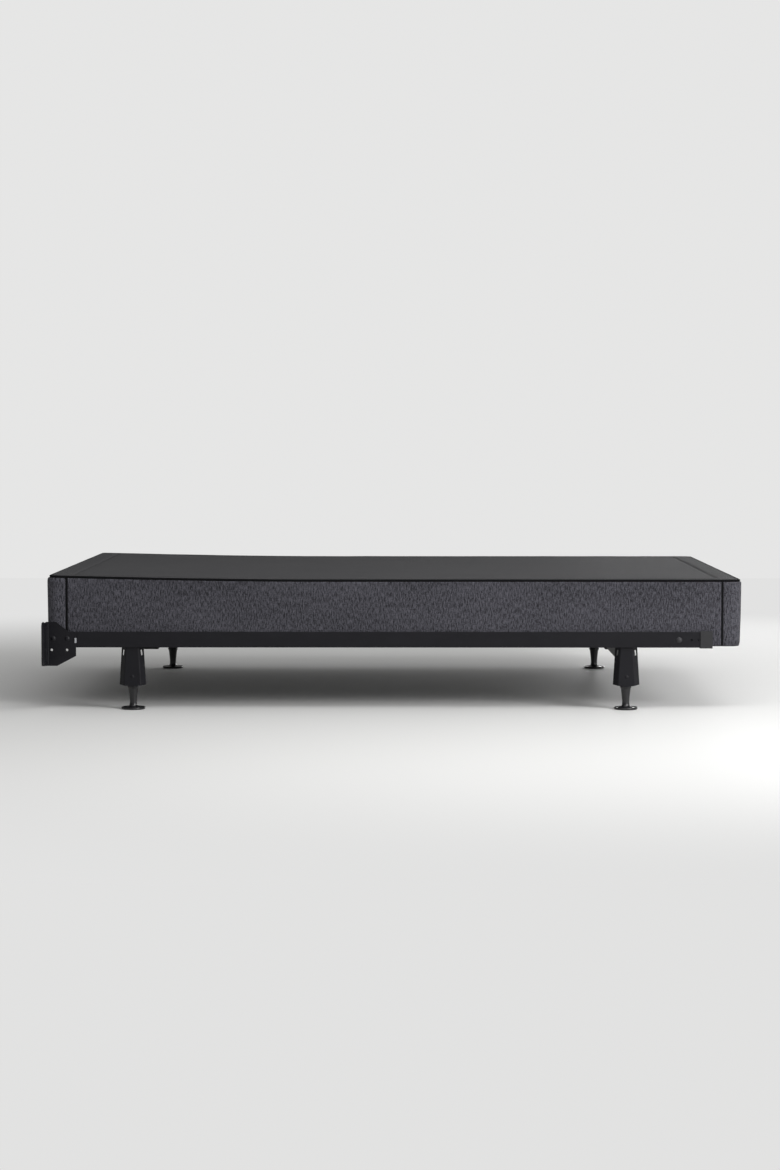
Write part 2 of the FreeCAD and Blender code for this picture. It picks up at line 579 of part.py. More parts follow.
def wood_frame():
    """Boards inside the foundation."""
    edge = COVER_DEPTH + 0.5
    x0 = HEAD_X + edge
    x1 = FOOT_X - edge
    y1 = SIDE_Y - edge
    parts = {
        "side_wood_rails": [
            block(x0 + 22, x1 - 22, -y1, -y1 + BOARD, WOOD_BOTTOM, WOOD_TOP),
            block(x0 + 22, x1 - 22, y1 - BOARD, y1, WOOD_BOTTOM, WOOD_TOP)],
        "end_wood_rails": [
            block(x0, x0 + BOARD, -y1 + 22, y1 - 22, WOOD_BOTTOM, WOOD_TOP),
            block(x1 - BOARD, x1, -y1 + 22, y1 - 22, WOOD_BOTTOM, WOOD_TOP)],
        "centre_wood_rail": [block(x0 + BOARD, x1 - BOARD, -BOARD / 2, BOARD / 2,
                                   WOOD_BOTTOM + 30, WOOD_TOP)],
    }
    slats = []
    pitch = (x1 - x0 - SLAT_WIDTH) / (SLAT_COUNT - 1)
    for number in range(SLAT_COUNT):
        start = x0 + pitch * number
        margin = 22 if number in (0, SLAT_COUNT - 1) else 0
        slats.append(block(start, start + SLAT_WIDTH, -y1 + margin, y1 - margin,
                           WOOD_TOP, SLAT_TOP))
    parts["deck_slats"] = slats
    blocks = []
    for sx, corner_x in ((1, x0 + BOARD), (-1, x1 - BOARD)):
        for sy in (-1, 1):
            corner_y = sy * (y1 - BOARD)
            blocks.append(prism([V(corner_x, corner_y, WOOD_BOTTOM),
                                 V(corner_x + sx * 60, corner_y, WOOD_BOTTOM),
                                 V(corner_x, corner_y - sy * 60, WOOD_BOTTOM)],
                                V(0, 0, WOOD_TOP - WOOD_BOTTOM)))
    parts["corner_blocks"] = blocks
    return parts


def deck():
    edge = COVER_DEPTH + 0.5
    board = rounded_slab(edge, SLAT_TOP, DECK_TOP)
    pad = rounded_slab(2 * WELT_R + 1.2, DECK_TOP, DECK_TOP + TOP_PAD)
    cloth = rounded_slab(2 * WELT_R + 1.0, DECK_TOP + TOP_PAD, FOUNDATION_TOP)
    dust = rounded_slab(edge, FOUNDATION_BOTTOM, FOUNDATION_BOTTOM + DUST_COVER)
    return {"deck_board": board, "top_pad": pad, "non_slip_top": cloth, "dust_cover": dust}


# ---------------------------------------------------------------- write every piece
save_pair("side_rail", side_rail())
save_pair("rail_end_cap", rail_end_cap())
save_pair("rail_stud", rail_stud())
save_pair("headboard_bracket", headboard_bracket())
save_pair("bracket_rivets", *[bracket_rivet(x) for x in BRACKET_RIVETS_X])
save_pair("bracket_clip", edge_clip())

for end_name, leg_x in (("head", HEAD_LEG_X), ("foot", FOOT_LEG_X)):
    place = V(leg_x, 0, 0)
    save_pair(end_name + "_leg", leg().translated(place))
    save_pair(end_name + "_glide", glide().translated(place))
    save_pair(end_name + "_glide_stem", glide_stem().translated(place))
    save("front_" + end_name + "_arm", cross_arm(0, ARM_RIVETS).translated(place))
    save("back_" + end_name + "_arm", at_back(cross_arm(NEST, ARM_RIVETS)).translated(place))
    save(end_name + "_clamp_housing", clamp_housing().translated(place))
    save(end_name + "_guide_loop", guide_loop().translated(place))
    save(end_name + "_clamp_screw", clamp_screw().translated(place))
    save(end_name + "_clamp_knob", clamp_knob().translated(place))

save_pair("glide_sockets", *[glide_socket().translated(V(x, 0, 0)) for x in LEG_XS])
front_stack = ARM_TOP - RAIL_STEEL
back_stack = front_stack - NEST
save("front_arm_rivets", *[r.translated(V(x, 0, 0)) for x in LEG_XS for r in arm_rivets(front_stack)])
save("back_arm_rivets", *[at_back(r.translated(V(x, 0, 0)))
                          for x in LEG_XS for r in arm_rivets(back_stack)])
save("back_arm_spacers", *[at_back(arm_spacer().translated(V(x, 0, 0))) for x in LEG_XS])

for node, piece in cover_parts().items():
    save(node, piece)
for node, pieces in wood_frame().items():
    save(node, *pieces)
for node, piece in deck().items():
    save(node, piece)
save("top_welt", top_welt())
save("seam_welts", *seam_welts())
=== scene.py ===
"""Looks of a bed base: an upholstered foundation on a width-adjustable steel frame. All in metres."""

import math

import bpy
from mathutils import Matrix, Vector, noise


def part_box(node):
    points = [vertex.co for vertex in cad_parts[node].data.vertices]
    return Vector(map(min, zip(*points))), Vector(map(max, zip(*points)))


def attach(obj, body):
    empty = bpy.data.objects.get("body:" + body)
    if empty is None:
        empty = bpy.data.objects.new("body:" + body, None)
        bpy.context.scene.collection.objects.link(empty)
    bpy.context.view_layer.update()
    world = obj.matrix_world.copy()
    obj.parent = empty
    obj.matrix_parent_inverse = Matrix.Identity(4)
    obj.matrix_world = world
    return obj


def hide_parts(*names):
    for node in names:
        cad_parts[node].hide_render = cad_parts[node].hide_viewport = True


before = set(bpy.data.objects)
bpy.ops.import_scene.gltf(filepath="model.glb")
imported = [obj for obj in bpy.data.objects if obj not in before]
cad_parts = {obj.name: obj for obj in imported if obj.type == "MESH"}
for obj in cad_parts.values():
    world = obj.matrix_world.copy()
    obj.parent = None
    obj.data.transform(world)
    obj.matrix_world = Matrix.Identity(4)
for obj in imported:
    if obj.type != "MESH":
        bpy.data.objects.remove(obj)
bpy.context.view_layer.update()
MM = 0.001

# ---------------------------------------------------------------- places, from the frame
HEAD_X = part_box("head_end_cover")[0].x
FOOT_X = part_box("foot_end_cover")[1].x
SIDE_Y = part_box("back_side_cover")[1].y
COVER_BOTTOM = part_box("front_side_cover")[0].z
COVER_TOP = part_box("front_side_cover")[1].z
SEAM_HEAD_X = (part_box("front_side_cover")[0].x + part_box("front_head_corner_piece")[1].x) / 2
SEAM_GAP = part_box("front_side_cover")[0].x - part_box("front_head_corner_piece")[1].x
WELT_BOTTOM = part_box("top_welt")[0].z
WELT_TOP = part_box("top_welt")[1].z
PAD_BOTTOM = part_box("top_pad")[0].z
CLOTH_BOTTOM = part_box("non_slip_top")[0].z
CLOTH_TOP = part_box("non_slip_top")[1].z
DUST_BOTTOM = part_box("dust_cover")[0].z
DUST_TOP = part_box("dust_cover")[1].z

CORNER_RADIUS = 28 * MM
COVER_THICK = 6.5 * MM
PANEL_CROWN = 1.1 * MM
CORNER_CROWN = 2.2 * MM
SEAM_PIPING_RADIUS = 2.1 * MM
SEAM_PIPING_HALF_WIDTH = 3.3 * MM
HEAD_RISE = 11.4 * MM          # the top edge stands this much higher at the head end
HEAD_RISE_LENGTH = 0.70
HEAD_RISE_POWER = 1.6

STRAIGHT_X = FOOT_X - HEAD_X - 2 * CORNER_RADIUS
STRAIGHT_Y = 2 * SIDE_Y - 2 * CORNER_RADIUS
ARC = math.pi / 2 * CORNER_RADIUS
STRAIGHTS = (STRAIGHT_X, STRAIGHT_Y, STRAIGHT_X, STRAIGHT_Y)
LAP = sum(STRAIGHTS) + 4 * ARC
SEAM_FROM_ARC = SEAM_HEAD_X - HEAD_X - CORNER_RADIUS


def round_the_plan(distance):
    """Point and outward direction along the foundation's rounded plan, from the front's head end."""
    distance %= LAP
    point = Vector((HEAD_X + CORNER_RADIUS, -SIDE_Y, 0))
    heading = 0.0
    for length in STRAIGHTS:
        ahead = Vector((math.cos(heading), math.sin(heading), 0))
        out = Vector((ahead.y, -ahead.x, 0))
        if distance <= length:
            return point + ahead * distance, out
        distance -= length
        centre = point + ahead * length - out * CORNER_RADIUS
        if distance <= ARC:
            turn = distance / CORNER_RADIUS
            turned = out * math.cos(turn) + ahead * math.sin(turn)
            return centre + turned * CORNER_RADIUS, turned
        distance -= ARC
        point = centre + ahead * CORNER_RADIUS
        heading += math.pi / 2
    return point, Vector((0, -1, 0))


def head_rise(x):
    """How far the top edge is pulled up at this distance along the bed."""
    left = 1 - (x - HEAD_X) / HEAD_RISE_LENGTH
    return HEAD_RISE * min(1, max(0, left)) ** HEAD_RISE_POWER


SEED_SPACING = 7.31


def wander(seed, x, y):
    """Smooth noise from about -1 to 1, the same on every run and different for each seed."""
    return noise.noise(Vector((x, y, seed * SEED_SPACING)))


# ---------------------------------------------------------------- materials
class Shader:
    """A material's nodes, with a short call for each kind used here."""

    def __init__(self, name):
        self.material = bpy.data.materials.new(name)
        self.material.use_nodes = True
        self.nodes = self.material.node_tree.nodes
        self.links = self.material.node_tree.links
        self.surface = self.nodes["Principled BSDF"]

    def add(self, kind, **inputs):
        """A new node. inputs are its sockets' names, with _ for a space, and what goes in."""
        node = self.nodes.new("ShaderNode" + kind)
        for name, value in inputs.items():
            self.put(node.inputs[name.replace("_", " ")], value)
        return node

    def put(self, socket, value):
        """Link another node's output to a socket, or set the socket to a constant."""
        if isinstance(value, bpy.types.NodeSocket):
            self.links.new(value, socket)
        else:
            socket.default_value = value

    def place(self, pitch, coordinates="Object"):
        """Coordinates that grow by one over each pitch, given in metres along x, y and z."""
        scale = self.add("Mapping", Scale=[1 / step for step in pitch])
        self.links.new(self.add("TexCoord").outputs[coordinates], scale.inputs["Vector"])
        return scale.outputs["Vector"]

    def noise(self, place, detail=2.0, roughness=0.5, distortion=0.0):
        """Soft noise from 0 to 1, with features about one unit across."""
        node = self.add("TexNoise", Vector=place, Scale=1.0, Detail=detail,
                        Roughness=roughness, Distortion=distortion)
        return node.outputs["Fac"]

    def cells(self, place):
        """Distance to the nearest of the points scattered one to each unit cell."""
        return self.add("TexVoronoi", Vector=place, Scale=1.0).outputs["Distance"]

    def maths(self, operation, first, second=0.0):
        node = self.add("Math")
        node.operation = operation
        self.put(node.inputs[0], first)
        self.put(node.inputs[1], second)
        return node.outputs[0]

    def total(self, *shares):
        """The sum of values, each given with its weight."""
        result = 0.0
        for value, weight in shares:
            result = self.maths("ADD", result, self.maths("MULTIPLY", value, weight))
        return result

    def spread(self, value, low, high, bottom=0.0, top=1.0):
        """value from low to high becomes bottom to top, and stays there outside."""
        node = self.add("MapRange", Value=value, From_Min=low, From_Max=high, To_Min=bottom, To_Max=top)
        return node.outputs["Result"]

    def blend(self, factor, first, second):
        """From colour first at 0 to colour second at 1."""
        node = self.add("Mix")
        node.data_type = "RGBA"
        self.put(node.inputs["Factor"], factor)
        for socket, colour in ((node.inputs[6], first), (node.inputs[7], second)):
            self.put(socket, colour if isinstance(colour, bpy.types.NodeSocket) else (*colour, 1))
        return node.outputs[2]

    def bump(self, height, depth, under=None):
        """A normal bent by a height from 0 to 1 that stands for depth, on top of the normal under."""
        node = self.add("Bump", Height=height, Distance=depth, Strength=1.0)
        if under is not None:
            self.links.new(under, node.inputs["Normal"])
        return node.outputs["Normal"]

    def axis(self, vector, name):
        return self.add("SeparateXYZ", Vector=vector).outputs[name]

    def ridges(self, coordinate):
        """A wave from -1 to 1, one to each unit of the coordinate."""
        return self.maths("SINE", self.maths("MULTIPLY", coordinate, 2 * math.pi))

    def finish(self, colour, roughness, normal, **constants):
        """Join everything to the surface and hand over the material."""
        self.put(self.surface.inputs["Base Color"], colour)
        self.put(self.surface.inputs["Roughness"], roughness)
        self.put(self.surface.inputs["Normal"], normal)
        for name, value in constants.items():
            self.put(self.surface.inputs[name.replace("_", " ")], value)
        return self.material


def woven_cover(name, dark, light):
    """Heathered upholstery with slubs that run up and down. Its UV map is in metres."""
    s = Shader(name)
    yarn = 1.4 * MM
    slub = s.noise(s.place((3.3 * MM, 15 * MM, 1), "UV"), 3.0, 0.62, 0.1)
    warp = s.noise(s.place((1.5 * MM, 9 * MM, 1), "UV"), 2.0, 0.6)
    fleck = s.noise(s.place((2.9 * MM, 3.4 * MM, 1), "UV"), 2.0, 0.6)
    cloud = s.noise(s.place((0.35, 0.12, 1), "UV"), 1.0)
    threads = s.place((yarn, yarn, 1), "UV")
    across = s.ridges(s.axis(threads, "X"))
    along = s.ridges(s.axis(threads, "Y"))
    weave = s.spread(s.maths("MULTIPLY", across, along), -1, 1)
    tone = s.total((slub, 0.44), (warp, 0.24), (fleck, 0.24), (cloud, 0.08))
    colour = s.blend(s.spread(tone, 0.42, 0.58), dark, light)
    # painted shade: the colour darkens where the weave's threads dip, in the valleys of the same weave
    # pattern that bumps the surface
    shaded = s.blend(s.spread(weave, 0, 1, 0.25, 0), colour, [part * 0.45 for part in dark])
    threads_up = s.total((weave, 0.5), (warp, 0.8))
    normal = s.bump(threads_up, 0.35 * MM, s.bump(slub, 0.9 * MM))
    return s.finish(shaded, s.spread(tone, 0.35, 0.65, 0.95, 0.82), normal,
                    Sheen_Weight=0.05, Sheen_Roughness=0.6, Specular_IOR_Level=0.2)


def piping_cloth():
    """Black bias-cut cloth round a cord, with slanting threads."""
    s = Shader("black_piping_cloth")
    place = s.place((1.1 * MM, 1.1 * MM, 1), "UV")
    slant = s.maths("ADD", s.axis(place, "X"), s.axis(place, "Y"))
    twill = s.spread(s.ridges(slant), -1, 1)
    fuzz = s.noise(s.place((3 * MM, 1.5 * MM, 1), "UV"), 3.0)
    colour = s.blend(s.maths("MULTIPLY", twill, fuzz),
                     (0.0020, 0.0020, 0.0024), (0.0065, 0.0065, 0.0080))
    height = s.maths("ADD", twill, fuzz)
    return s.finish(colour, s.spread(fuzz, 0.3, 0.7, 0.72, 0.9), s.bump(height, 0.15 * MM),
                    Specular_IOR_Level=0.10)


def non_slip_cloth():
    """Black cloth printed with a staggered grid of small rubber dots."""
    s = Shader("non_slip_dotted_cloth")
    pitch = 9 * MM
    place = s.place((pitch, pitch, 1))
    x = s.axis(place, "X")
    y = s.axis(place, "Y")
    shift = s.maths("MULTIPLY", s.maths("FLOORED_MODULO", s.maths("FLOOR", y), 2.0), 0.5)
    dx = s.maths("SUBTRACT", s.maths("FRACT", s.maths("ADD", x, shift)), 0.5)
    dy = s.maths("SUBTRACT", s.maths("FRACT", y), 0.5)
    reach = s.maths("SQRT", s.maths("ADD", s.maths("MULTIPLY", dx, dx), s.maths("MULTIPLY", dy, dy)))
    dot = s.spread(reach, 0.17, 0.21, 1, 0)
    fibres = s.noise(s.place((1.2 * MM, 3.5 * MM, 1)), 3.0, 0.6)
    worn = s.noise(s.place((0.16, 0.21, 1)), 3.0)
    cloth = s.blend(fibres, (0.010, 0.010, 0.012), (0.046, 0.046, 0.051))
    colour = s.blend(s.maths("MULTIPLY", worn, 0.35), cloth, (0.060, 0.058, 0.058))
    colour = s.blend(dot, colour, (0.088, 0.088, 0.092))
    height = s.maths("ADD", s.maths("MULTIPLY", fibres, 0.35), dot)
    return s.finish(colour, s.spread(dot, 0, 1, 0.93, 0.5), s.bump(height, 0.5 * MM),
                    Specular_IOR_Level=0.35)


def spun_bonded_cloth():
    """Thin black dust cloth, point-bonded in a fine diamond grid."""
    s = Shader("spun_bonded_dust_cloth")
    place = s.place((2.6 * MM, 2.6 * MM, 1))
    bonds = s.maths("MULTIPLY", s.ridges(s.maths("ADD", s.axis(place, "X"), s.axis(place, "Y"))),
                    s.ridges(s.maths("SUBTRACT", s.axis(place, "X"), s.axis(place, "Y"))))
    fibres = s.noise(s.place((0.9 * MM, 0.9 * MM, 1)), 4.0, 0.7, 1.5)
    thin = s.noise(s.place((0.05, 0.08, 1)), 2.0)
    colour = s.blend(fibres, (0.010, 0.010, 0.011), (0.040, 0.040, 0.043))
    colour = s.blend(s.maths("MULTIPLY", thin, 0.4), colour, (0.050, 0.049, 0.048))
    height = s.maths("ADD", s.spread(bonds, 0.6, 1.0, 1, 0), s.maths("MULTIPLY", fibres, 0.5))
    return s.finish(colour, 0.86, s.bump(height, 0.2 * MM), Sheen_Weight=0.05)


def powder_coat(name, base, chipped, gloss=0.46):
    """Satin powder coat: fine orange peel, faint dust on top faces, rubbed edges."""
    s = Shader(name)
    peel = s.noise(s.place((1.5 * MM, 1.5 * MM, 1.5 * MM)), 2.0)
    blotch = s.noise(s.place((60 * MM, 45 * MM, 30 * MM)), 4.0, 0.6)
    scuff = s.noise(s.place((55 * MM, 3 * MM, 3 * MM)), 5.0, 0.7, 0.4)
    grain = s.noise(s.place((4 * MM, 4 * MM, 4 * MM)), 5.0, 0.75)
    rounded = s.add("Bevel", Radius=1.6 * MM)
    rounded.samples = 4
    facing = s.add("NewGeometry").outputs["Normal"]
    turn = s.add("VectorMath")
    turn.operation = "DOT_PRODUCT"
    s.put(turn.inputs[0], rounded.outputs["Normal"])
    s.put(turn.inputs[1], facing)
    edge = s.spread(turn.outputs["Value"], 0.985, 0.86)
    rubbed = s.maths("MULTIPLY", edge, s.spread(grain, 0.50, 0.62))
    upward = s.maths("MULTIPLY", s.spread(s.axis(facing, "Z"), 0.5, 1.0), s.spread(grain, 0.35, 0.7))
    lighter = [part * 1.35 for part in base]
    colour = s.blend(blotch, [part * 0.75 for part in base], lighter)
    colour = s.blend(s.maths("MULTIPLY", s.spread(scuff, 0.66, 0.76), 0.35), colour, chipped)
    colour = s.blend(s.maths("MULTIPLY", upward, 0.10), colour, (0.22, 0.21, 0.20))
    colour = s.blend(s.maths("MULTIPLY", rubbed, 0.55), colour, chipped)
    roughness = s.maths("ADD", s.spread(blotch, 0.3, 0.7, gloss - 0.05, gloss + 0.07),
                        s.maths("MULTIPLY", upward, 0.12))
    return s.finish(colour, roughness, s.bump(peel, 0.05 * MM), Specular_IOR_Level=0.20)


def zinc_plate():
    """Bright zinc with faint crystals and fine rolling lines."""
    s = Shader("zinc_plate")
    crystals = s.cells(s.place((3.5 * MM, 3.5 * MM, 3.5 * MM)))
    lines = s.noise(s.place((0.4 * MM, 0.4 * MM, 8 * MM)), 3.0)
    colour = s.blend(crystals, (0.60, 0.61, 0.63), (0.42, 0.43, 0.46))
    return s.finish(colour, s.spread(lines, 0.3, 0.7, 0.26, 0.42), s.bump(lines, 0.02 * MM),
                    Metallic=1.0)


def bright_steel():
    """Turned and plated steel for the glide stems and clamp screws."""
    s = Shader("bright_plated_steel")
    lines = s.noise(s.place((9 * MM, 9 * MM, 0.25 * MM)), 2.0)
    stain = s.noise(s.place((6 * MM, 6 * MM, 6 * MM)), 4.0)
    colour = s.blend(s.spread(stain, 0.35, 0.7), (0.55, 0.55, 0.56), (0.34, 0.33, 0.32))
    return s.finish(colour, s.spread(lines, 0.3, 0.7, 0.24, 0.40), s.bump(lines, 0.02 * MM),
                    Metallic=1.0)


def moulded_plastic(name, base, roughness, grain=0.7 * MM, grain_depth=0.03 * MM):
    """Moulded plastic: fine spark grain, flow marks and light scratches."""
    s = Shader(name)
    spark = s.noise(s.place((grain, grain, grain)), 3.0, 0.6)
    flow = s.noise(s.place((18 * MM, 18 * MM, 30 * MM)), 3.0)
    scratch = s.noise(s.place((1 * MM, 14 * MM, 9 * MM)), 4.0, 0.7, 0.6)
    worn = s.spread(scratch, 0.66, 0.80)
    colour = s.blend(flow, [part * 0.85 for part in base], [part * 1.2 for part in base])
    colour = s.blend(s.maths("MULTIPLY", worn, 0.25), colour, [part * 2.2 + 0.02 for part in base])
    finish = s.maths("ADD", s.spread(spark, 0.3, 0.7, roughness - 0.05, roughness + 0.06),
                     s.maths("MULTIPLY", worn, 0.15))
    return s.finish(colour, finish, s.bump(spark, grain_depth), Specular_IOR_Level=0.5)


def softwood():
    """Sawn pine, grain along the boards, with saw marks."""
    s = Shader("sawn_pine")
    bend = s.noise(s.place((0.6, 0.05, 0.05)), 2.0)
    rings = s.maths("ADD", s.axis(s.place((1, 1, 7 * MM)), "Z"), s.maths("MULTIPLY", bend, 9.0))
    growth = s.spread(s.ridges(rings), -1, 1)
    fibre = s.noise(s.place((40 * MM, 0.8 * MM, 0.8 * MM)), 3.0, 0.6)
    saw = s.ridges(s.axis(s.place((5 * MM, 1, 1)), "X"))
    colour = s.blend(growth, (0.66, 0.48, 0.28), (0.47, 0.30, 0.14))
    colour = s.blend(s.maths("MULTIPLY", fibre, 0.5), colour, (0.75, 0.60, 0.40))
    height = s.maths("ADD", s.maths("MULTIPLY", saw, 0.2), fibre)
    return s.finish(colour, s.spread(fibre, 0.3, 0.7, 0.62, 0.8), s.bump(height, 0.15 * MM))


def pressed_board():
    """Brown hard fibreboard."""
    s = Shader("hard_fibreboard")
    fibre = s.noise(s.place((2.5 * MM, 2.5 * MM, 2.5 * MM)), 5.0, 0.7, 1.0)
    cloud = s.noise(s.place((0.12, 0.12, 0.12)), 2.0)
    colour = s.blend(fibre, (0.30, 0.20, 0.12), (0.50, 0.38, 0.25))
    colour = s.blend(s.maths("MULTIPLY", cloud, 0.3), colour, (0.36, 0.25, 0.16))
    return s.finish(colour, 0.6, s.bump(fibre, 0.06 * MM))


def needled_felt():
    """Grey felt with stray fibres."""
    s = Shader("grey_needled_felt")
    fibre = s.noise(s.place((1.4 * MM, 1.4 * MM, 1.4 * MM)), 6.0, 0.75, 2.0)
    fleck = s.cells(s.place((9 * MM, 6 * MM, 9 * MM)))
    colour = s.blend(fibre, (0.30, 0.30, 0.30), (0.56, 0.55, 0.54))
    colour = s.blend(s.spread(fleck, 0.12, 0.05, 0.0, 0.6), colour, (0.14, 0.18, 0.30))
    return s.finish(colour, 0.95, s.bump(fibre, 0.5 * MM), Sheen_Weight=0.2)


STEEL = powder_coat("black_powder_coat", (0.0052, 0.0050, 0.0070), (0.050, 0.050, 0.055))
RIVET_PAINT = powder_coat("black_rivet_paint", (0.0080, 0.0078, 0.0100), (0.08, 0.08, 0.08), 0.40)
STUD_PAINT = powder_coat("worn_stud_paint", (0.030, 0.030, 0.033), (0.16, 0.16, 0.16), 0.40)
MATERIALS = {
    "frame_steel": STEEL,
    "rivet_steel": RIVET_PAINT,
    "zinc_steel": zinc_plate(),
    "stem_steel": bright_steel(),
    "cap_plastic": moulded_plastic("grey_cap_plastic", (0.0062, 0.0061, 0.0075), 0.50),
    "glide_plastic": moulded_plastic("black_glide_plastic", (0.0078, 0.0076, 0.0090), 0.28,
                                     1.1 * MM, 0.015 * MM),
    "knob_plastic": moulded_plastic("black_knob_plastic", (0.016, 0.016, 0.018), 0.45),
    "cover_fabric": woven_cover("charcoal_heather_weave",
                                (0.0085, 0.0084, 0.0110), (0.082, 0.080, 0.096)),
    "corner_fabric": woven_cover("charcoal_heather_corner",
                                 (0.0090, 0.0088, 0.0115), (0.092, 0.090, 0.107)),
    "welt_cord": piping_cloth(),
    "top_cloth": non_slip_cloth(),
    "dust_cloth": spun_bonded_cloth(),
    "pine": softwood(),
    "fibreboard": pressed_board(),
    "felt_pad": needled_felt(),
}

for name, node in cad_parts.items():
    slots = node.data.materials
    for index, packed in enumerate(slots):
        slots[index] = STUD_PAINT if "rail_stud" in name else MATERIALS[packed.name.split(".")[0]]


# ---------------------------------------------------------------- making pieces
def new_piece(name, vertices, faces, slot, body, stands_for, uvs=None):
    """A smooth mesh piece that rides on a body and stands for a CAD node. uvs has a pair per vertex."""
    mesh = bpy.data.meshes.new(name)
    mesh.from_pydata(vertices, [], faces)
    mesh.materials.append(MATERIALS[slot])
    if uvs is not None:
        layer = mesh.uv_layers.new(name="metres")
        for loop in mesh.loops:
            layer.data[loop.index].uv = uvs[loop.vertex_index]
    mesh.shade_smooth()
    mesh.validate()
    piece = bpy.data.objects.new(name, mesh)
    bpy.context.scene.collection.objects.link(piece)
    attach(piece, body)
    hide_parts(stands_for)
    return piece


# rows and columns this far from a cloth's edge, close enough together to draw its rolled rim; the
# last is also how much cloth is turned in
EDGE_STEPS = [step * MM for step in (0, 0.3, 0.9, 1.8, 3.0, 4.4, 6.4, 9.5, 14)]


def stations(length, pitch):
    """Distances from 0 to length, closer together near both ends."""
    inner = length - 2 * EDGE_STEPS[-1]
    count = max(2, round(inner / pitch))
    middle = [EDGE_STEPS[-1] + inner * number / count for number in range(1, count)]
    return EDGE_STEPS + middle + [length - step for step in reversed(EDGE_STEPS)]


def slab(columns, rows, outer, inner):
    """Vertices and faces of a closed thin slab: an outer and an inner grid joined round their rims."""
    wide = len(columns)
    tall = len(rows)
    half = wide * tall
    vertices = [outer(i, j) for j in range(tall) for i in range(wide)]
    vertices += [inner(i, j) for j in range(tall) for i in range(wide)]
    faces = []
    for j in range(tall - 1):
        for i in range(wide - 1):
            a = j * wide + i
            quad = (a, a + 1, a + 1 + wide, a + wide)
            faces.append(quad)
            faces.append(tuple(half + corner for corner in reversed(quad)))
    rim = list(range(wide))
    rim += [j * wide + wide - 1 for j in range(1, tall)]
    rim += [(tall - 1) * wide + i for i in range(wide - 2, -1, -1)]
    rim += [j * wide for j in range(tall - 2, 0, -1)]
    for a, b in zip(rim, rim[1:] + rim[:1]):
        faces.append((b, a, half + a, half + b))
    return vertices, faces


def roll_in(edge, reach):
    """0 away from an edge, rising to 1 at it along a quarter ellipse."""
    if edge >= reach:
        return 0.0
    return 1 - math.sqrt(1 - (1 - edge / reach) ** 2)


# a wrapped cloth's rolled edges: their widths at the sides, the bottom and the top, and the share of
# the full depth that the top rolls in
PANEL_EDGES = (3.2 * MM, 4 * MM, 3 * MM, 0.45)
HEAD_PANEL_EDGES = (3.2 * MM, 4 * MM, 3 * MM, 0.85)
ROLL_EDGES = (6 * MM, 13 * MM, 4 * MM, 0.45)
HEAD_ROLL_EDGES = (6 * MM, 13 * MM, 9 * MM, 0.85)
EDGE_DEPTH = 5 * MM            # how far an edge rolls in
PANEL_PITCH = 9 * MM           # between a panel's columns
ROLL_PITCH = 4 * MM            # between a corner roll's columns
ROW_PITCH = 8 * MM             # between rows, up the cloth
STAPLE_PITCH = 62 * MM         # between the staples under the bottom edge
FOOT_ROLL_TAPER = 3.6 * MM     # how much narrower a corner roll is at its bottom
HEAD_ROLL_TAPER = 1.4 * MM


def wrapped(name, start, end, slot, node, pitch, stand_out, edges):
    """Cloth round part of the plan. stand_out(s, u, v, length, height) gives how far it stands out at s
    along the plan, u along the cloth and v up it."""
    side_reach, bottom_reach, top_reach, top_share = edges
    length = end - start
    height = COVER_TOP - COVER_BOTTOM
    columns = stations(length, pitch)
    rows = stations(height, ROW_PITCH)

    def lift(point, v):
        return head_rise(point.x) * (v / height) ** 3

    def outer(i, j):
        u = columns[i]
        v = rows[j]
        side = roll_in(min(u, length - u), side_reach)
        low = roll_in(v, bottom_reach)
        high = top_share * roll_in(height - v, top_reach)
        kept = (1 - side) * (1 - low) * (1 - high)
        point, out = round_the_plan(start + u)
        faded = min(1, kept * 1.5)      # the shape dies away where the edge rolls in
        shape = stand_out(start + u, u, v, length, height) * faded
        place = point + out * (shape - EDGE_DEPTH * (1 - kept))
        return (place.x, place.y, COVER_BOTTOM + v + lift(place, v))

    def inner(i, j):
        point, out = round_the_plan(start + columns[i])
        place = point - out * COVER_THICK
        return (place.x, place.y, COVER_BOTTOM + rows[j] + lift(place, rows[j]))

    vertices, faces = slab(columns, rows, outer, inner)
    grid_uvs = [(start + u, v) for v in rows for u in columns]
    return new_piece(name, vertices, faces, slot, "foundation", node, grid_uvs * 2)


def panel_shape(s, u, v, length, height):
    """A taut panel: faint crown, slow waves, puckers at the top stitching and the bottom staples."""
    crown = PANEL_CROWN * math.sin(math.pi * v / height) ** 0.6
    waves = 0.45 * MM * wander(1, s * 3.1, v * 9.0)
    stitched = 0.35 * MM * wander(2, s * 70, v * 10) * math.exp(-(height - v) / (14 * MM))
    stapled = 0.5 * MM * math.cos(2 * math.pi * s / STAPLE_PITCH) * math.exp(-v / (20 * MM))
    pulled = 0.35 * MM * wander(3, s * 8, v * 60) * math.exp(-min(u, length - u) / (25 * MM))
    return crown + waves + stitched + stapled + pulled


def corner_shape(s, u, v, length, height):
    """A soft roll: full between its seams, narrower low down, with upright creases."""
    crown = CORNER_CROWN * math.sin(math.pi * u / length) ** 0.8
    deepest = FOOT_ROLL_TAPER if round_the_plan(s)[0].x > 0 else HEAD_ROLL_TAPER
    taper = deepest * (1 - v / height) ** 1.3
    creases = 0.5 * MM * wander(4, s * 75, v * 9)
    slow = 0.6 * MM * wander(5, s * 14, v * 16)
    return crown - taper + creases + slow


SIDES = ("front_side", "foot_end", "back_side", "head_end")
CORNERS = ("front_foot", "back_foot", "back_head", "front_head")


